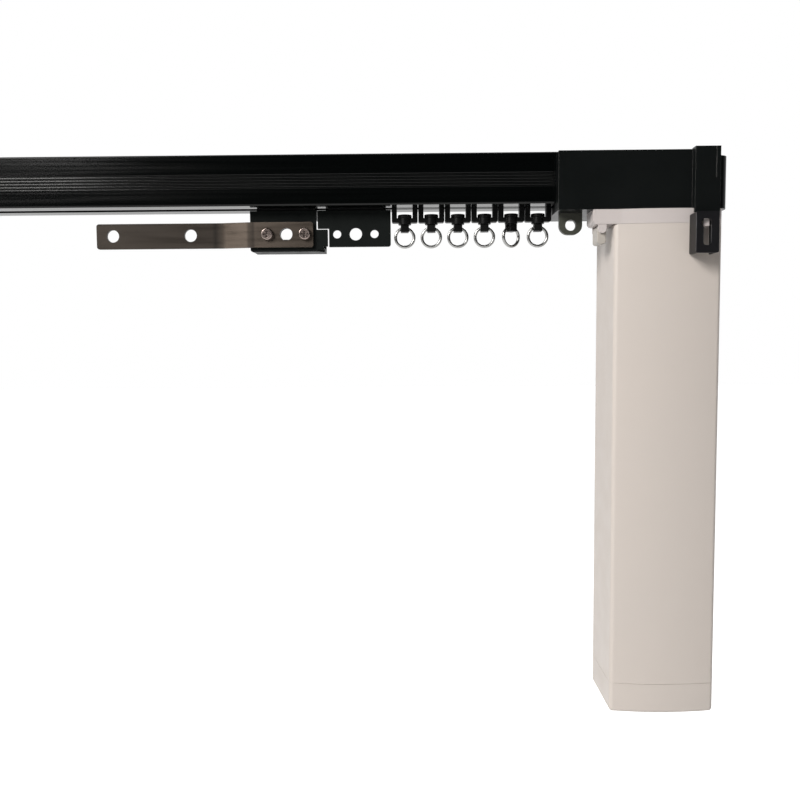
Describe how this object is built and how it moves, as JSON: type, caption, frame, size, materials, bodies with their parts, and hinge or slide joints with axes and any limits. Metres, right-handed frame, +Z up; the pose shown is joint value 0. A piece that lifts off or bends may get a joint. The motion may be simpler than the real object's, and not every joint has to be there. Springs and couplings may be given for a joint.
{
  "type": "electric curtain track",
  "caption": "Motorised curtain track: black rail with ring gliders and belt carriers, an overlap arm, end boxes and a hanging grey tube motor.",
  "frame": {"origin": "middle of the rail on its top face, in the ceiling channel's mouth", "axes": "+X along the rail towards the motor, front is -Y, +Z up"},
  "size_m": [0.5205, 0.0565, 0.3025],
  "materials": {
    "black_anodised": "gloss",
    "box_black": "gloss",
    "soft_black": "satin",
    "hanger_black": "gloss",
    "belt_rubber": "matt",
    "bush_brass": "machined",
    "screw_steel": "zinc plated",
    "eye_plastic": "satin",
    "pulley_nylon": "satin",
    "wheel_nylon": "satin",
    "motor_paint": "satin",
    "head_paint": "satin",
    "board_green": "solder mask",
    "lock_slate": "satin",
    "arm_plated": "plated",
    "ring_steel": "plain wire"
  },
  "bodies": {
    "track": {"rail": "black_anodised", "toothed_belt": "belt_rubber", "drive_housing": "box_black", "drive_lid": "box_black", "spindle_bushes": "bush_brass", "housing_screws": "screw_steel", "end_eye": "eye_plastic", "idler_housing": "box_black", "idler_lid": "box_black", "idler_pin": "screw_steel", "motor_head": "head_paint", "motor_case": "motor_paint", "motor_base": "motor_paint", "base_screws": "screw_steel", "gearbox": "screw_steel", "dc_motor": "screw_steel", "control_board": "board_green", "power_socket": "soft_black"},
    "drive_spindle": {"drive_pulley": "pulley_nylon", "output_shaft": "screw_steel"},
    "idler_wheel": {"idler_pulley": "pulley_nylon"},
    "carrier_a": {"carriage_a": "soft_black", "belt_clamp_a": "soft_black", "hanger_a": "hanger_black", "overlap_arm": "arm_plated", "arm_screws": "screw_steel"},
    "axle_a1": {"wheels_a1": "wheel_nylon"},
    "axle_a2": {"wheels_a2": "wheel_nylon"},
    "carrier_b": {"carriage_b": "soft_black", "belt_clamp_b": "soft_black", "hanger_b": "hanger_black"},
    "axle_b1": {"wheels_b1": "wheel_nylon"},
    "axle_b2": {"wheels_b2": "wheel_nylon"},
    "lock": {"lock_tab": "lock_slate"},
    "lever": {"release_lever": "head_paint"},
    "button": {"set_button": "soft_black"},
    "glider_1": {"glider_frame_1": "soft_black"},
    "glider_axle_1": {"glider_wheels_1": "wheel_nylon"},
    "swivel_eye_1": {"swivel_1": "soft_black"},
    "curtain_ring_1": {"ring_1": "ring_steel"},
    "glider_2": {"glider_frame_2": "soft_black"},
    "glider_axle_2": {"glider_wheels_2": "wheel_nylon"},
    "swivel_eye_2": {"swivel_2": "soft_black"},
    "curtain_ring_2": {"ring_2": "ring_steel"},
    "glider_3": {"glider_frame_3": "soft_black"},
    "glider_axle_3": {"glider_wheels_3": "wheel_nylon"},
    "swivel_eye_3": {"swivel_3": "soft_black"},
    "curtain_ring_3": {"ring_3": "ring_steel"},
    "glider_4": {"glider_frame_4": "soft_black"},
    "glider_axle_4": {"glider_wheels_4": "wheel_nylon"},
    "swivel_eye_4": {"swivel_4": "soft_black"},
    "curtain_ring_4": {"ring_4": "ring_steel"},
    "glider_5": {"glider_frame_5": "soft_black"},
    "glider_axle_5": {"glider_wheels_5": "wheel_nylon"},
    "swivel_eye_5": {"swivel_5": "soft_black"},
    "curtain_ring_5": {"ring_5": "ring_steel"},
    "glider_6": {"glider_frame_6": "soft_black"},
    "glider_axle_6": {"glider_wheels_6": "wheel_nylon"},
    "swivel_eye_6": {"swivel_6": "soft_black"},
    "curtain_ring_6": {"ring_6": "ring_steel"}
  },
  "joints": [
    {"name": "carrier_a_slide", "type": "slide", "parent": "track", "child": "carrier_a", "axis": [1, 0, 0], "range_m": [-0.2, 0], "deforming": ["toothed_belt"]},
    {"name": "axle_a1_roll", "type": "hinge", "parent": "carrier_a", "child": "axle_a1", "pos_m": [0.02965, 0, -0.02185], "axis": [0, 1, 0], "range_deg": [-3375, 5]},
    {"name": "axle_a2_roll", "type": "hinge", "parent": "carrier_a", "child": "axle_a2", "pos_m": [0.05165, 0, -0.02185], "axis": [0, 1, 0], "range_deg": [-3375, 5]},
    {"name": "carrier_b_slide", "type": "slide", "parent": "track", "child": "carrier_b", "axis": [1, 0, 0], "range_m": [-0.2005, 0.0005]},
    {"name": "axle_b1_roll", "type": "hinge", "parent": "carrier_b", "child": "axle_b1", "pos_m": [0.06755, 0, -0.02185], "axis": [0, 1, 0], "range_deg": [-3375, 5]},
    {"name": "axle_b2_roll", "type": "hinge", "parent": "carrier_b", "child": "axle_b2", "pos_m": [0.08955, 0, -0.02185], "axis": [0, 1, 0], "range_deg": [-3375, 5]},
    {"name": "drive_spin", "type": "hinge", "parent": "track", "child": "drive_spindle", "pos_m": [0.2435, 0, -0.014], "axis": [0, 0, 1], "range_deg": [-1445, 5]},
    {"name": "idler_spin", "type": "hinge", "parent": "track", "child": "idler_wheel", "pos_m": [-0.2265, 0, -0.014], "axis": [0, 0, 1], "range_deg": [-1445, 5]},
    {"name": "glider_1_slide", "type": "slide", "parent": "track", "child": "glider_1", "axis": [1, 0, 0], "range_m": [-0.17193, 0.0005]},
    {"name": "glider_1_roll", "type": "hinge", "parent": "glider_1", "child": "glider_axle_1", "pos_m": [0.1054, 0, -0.02185], "axis": [0, 1, 0], "range_deg": [-2894, 5]},
    {"name": "swivel_1_turn", "type": "hinge", "parent": "glider_1", "child": "swivel_eye_1", "pos_m": [0.1054, 0, -0.034], "axis": [0, 0, 1], "continuous": true},
    {"name": "ring_1_swing", "type": "hinge", "parent": "swivel_eye_1", "child": "curtain_ring_1", "pos_m": [0.1054, 0, -0.0378], "axis": [0.9986, 0.0523, 0], "range_deg": [-75, 75]},
    {"name": "glider_2_slide", "type": "slide", "parent": "track", "child": "glider_2", "axis": [1, 0, 0], "range_m": [-0.14336, 0.0005]},
    {"name": "glider_2_roll", "type": "hinge", "parent": "glider_2", "child": "glider_axle_2", "pos_m": [0.12, 0, -0.02185], "axis": [0, 1, 0], "range_deg": [-2412, 5]},
    {"name": "swivel_2_turn", "type": "hinge", "parent": "glider_2", "child": "swivel_eye_2", "pos_m": [0.12, 0, -0.034], "axis": [0, 0, 1], "continuous": true},
    {"name": "ring_2_swing", "type": "hinge", "parent": "swivel_eye_2", "child": "curtain_ring_2", "pos_m": [0.12, 0, -0.0378], "axis": [0.9976, -0.0698, 0], "range_deg": [-75, 75]},
    {"name": "glider_3_slide", "type": "slide", "parent": "track", "child": "glider_3", "axis": [1, 0, 0], "range_m": [-0.11479, 0.0005]},
    {"name": "glider_3_roll", "type": "hinge", "parent": "glider_3", "child": "glider_axle_3", "pos_m": [0.1346, 0, -0.02185], "axis": [0, 1, 0], "range_deg": [-1931, 5]},
    {"name": "swivel_3_turn", "type": "hinge", "parent": "glider_3", "child": "swivel_eye_3", "pos_m": [0.1346, 0, -0.034], "axis": [0, 0, 1], "continuous": true},
    {"name": "ring_3_swing", "type": "hinge", "parent": "swivel_eye_3", "child": "curtain_ring_3", "pos_m": [0.1346, 0, -0.0378], "axis": [0.9994, 0.0349, 0], "range_deg": [-75, 75]},
    {"name": "glider_4_slide", "type": "slide", "parent": "track", "child": "glider_4", "axis": [1, 0, 0], "range_m": [-0.08621, 0.0005]},
    {"name": "glider_4_roll", "type": "hinge", "parent": "glider_4", "child": "glider_axle_4", "pos_m": [0.1492, 0, -0.02185], "axis": [0, 1, 0], "range_deg": [-1449, 5]},
    {"name": "swivel_4_turn", "type": "hinge", "parent": "glider_4", "child": "swivel_eye_4", "pos_m": [0.1492, 0, -0.034], "axis": [0, 0, 1], "continuous": true},
    {"name": "ring_4_swing", "type": "hinge", "parent": "swivel_eye_4", "child": "curtain_ring_4", "pos_m": [0.1492, 0, -0.0378], "axis": [0.9986, -0.0523, 0], "range_deg": [-75, 75]},
    {"name": "glider_5_slide", "type": "slide", "parent": "track", "child": "glider_5", "axis": [1, 0, 0], "range_m": [-0.05764, 0.0005]},
    {"name": "glider_5_roll", "type": "hinge", "parent": "glider_5", "child": "glider_axle_5", "pos_m": [0.1638, 0, -0.02185], "axis": [0, 1, 0], "range_deg": [-968, 5]},
    {"name": "swivel_5_turn", "type": "hinge", "parent": "glider_5", "child": "swivel_eye_5", "pos_m": [0.1638, 0, -0.034], "axis": [0, 0, 1], "continuous": true},
    {"name": "ring_5_swing", "type": "hinge", "parent": "swivel_eye_5", "child": "curtain_ring_5", "pos_m": [0.1638, 0, -0.0378], "axis": [0.866, 0.5, 0], "range_deg": [-75, 75]},
    {"name": "glider_6_slide", "type": "slide", "parent": "track", "child": "glider_6", "axis": [1, 0, 0], "range_m": [-0.02907, 0.0005]},
    {"name": "glider_6_roll", "type": "hinge", "parent": "glider_6", "child": "glider_axle_6", "pos_m": [0.1784, 0, -0.02185], "axis": [0, 1, 0], "range_deg": [-486, 5]},
    {"name": "swivel_6_turn", "type": "hinge", "parent": "glider_6", "child": "swivel_eye_6", "pos_m": [0.1784, 0, -0.034], "axis": [0, 0, 1], "continuous": true},
    {"name": "ring_6_swing", "type": "hinge", "parent": "swivel_eye_6", "child": "curtain_ring_6", "pos_m": [0.1784, 0, -0.0378], "axis": [0.9994, -0.0349, 0], "range_deg": [-75, 75]},
    {"name": "lock_tab_flex", "type": "hinge", "parent": "track", "child": "lock", "pos_m": [0.2593, -0.0242, -0.035], "axis": [-1, 0, 0], "range_deg": [0, 25], "stiffness_Nm_per_rad": 0.05},
    {"name": "release_lever_press", "type": "hinge", "parent": "track", "child": "lever", "pos_m": [0.209, -0.0136, -0.0418], "axis": [0, -1, 0], "range_deg": [0, 12], "stiffness_Nm_per_rad": 0.02},
    {"name": "set_button_press", "type": "slide", "parent": "track", "child": "button", "axis": [0, 0, 1], "range_m": [0, 0.0012], "stiffness_N_per_m": 200}
  ],
  "couplings": [
    {"joint": "axle_a1_roll", "follows": "carrier_a_slide", "rad_per_m": 294.12},
    {"joint": "axle_a2_roll", "follows": "carrier_a_slide", "rad_per_m": 294.12},
    {"joint": "carrier_b_slide", "follows": "carrier_a_slide", "ratio": 1},
    {"joint": "axle_b1_roll", "follows": "carrier_a_slide", "rad_per_m": 294.12},
    {"joint": "axle_b2_roll", "follows": "carrier_a_slide", "rad_per_m": 294.12},
    {"joint": "drive_spin", "follows": "carrier_a_slide", "rad_per_m": 125.66},
    {"joint": "idler_spin", "follows": "carrier_a_slide", "rad_per_m": 125.66},
    {"joint": "glider_1_slide", "follows": "carrier_a_slide", "ratio": 0.85714},
    {"joint": "glider_1_roll", "follows": "carrier_a_slide", "rad_per_m": 252.1},
    {"joint": "glider_2_slide", "follows": "carrier_a_slide", "ratio": 0.71429},
    {"joint": "glider_2_roll", "follows": "carrier_a_slide", "rad_per_m": 210.08},
    {"joint": "glider_3_slide", "follows": "carrier_a_slide", "ratio": 0.57143},
    {"joint": "glider_3_roll", "follows": "carrier_a_slide", "rad_per_m": 168.07},
    {"joint": "glider_4_slide", "follows": "carrier_a_slide", "ratio": 0.42857},
    {"joint": "glider_4_roll", "follows": "carrier_a_slide", "rad_per_m": 126.05},
    {"joint": "glider_5_slide", "follows": "carrier_a_slide", "ratio": 0.28571},
    {"joint": "glider_5_roll", "follows": "carrier_a_slide", "rad_per_m": 84.034},
    {"joint": "glider_6_slide", "follows": "carrier_a_slide", "ratio": 0.14286},
    {"joint": "glider_6_roll", "follows": "carrier_a_slide", "rad_per_m": 42.017}
  ]
}
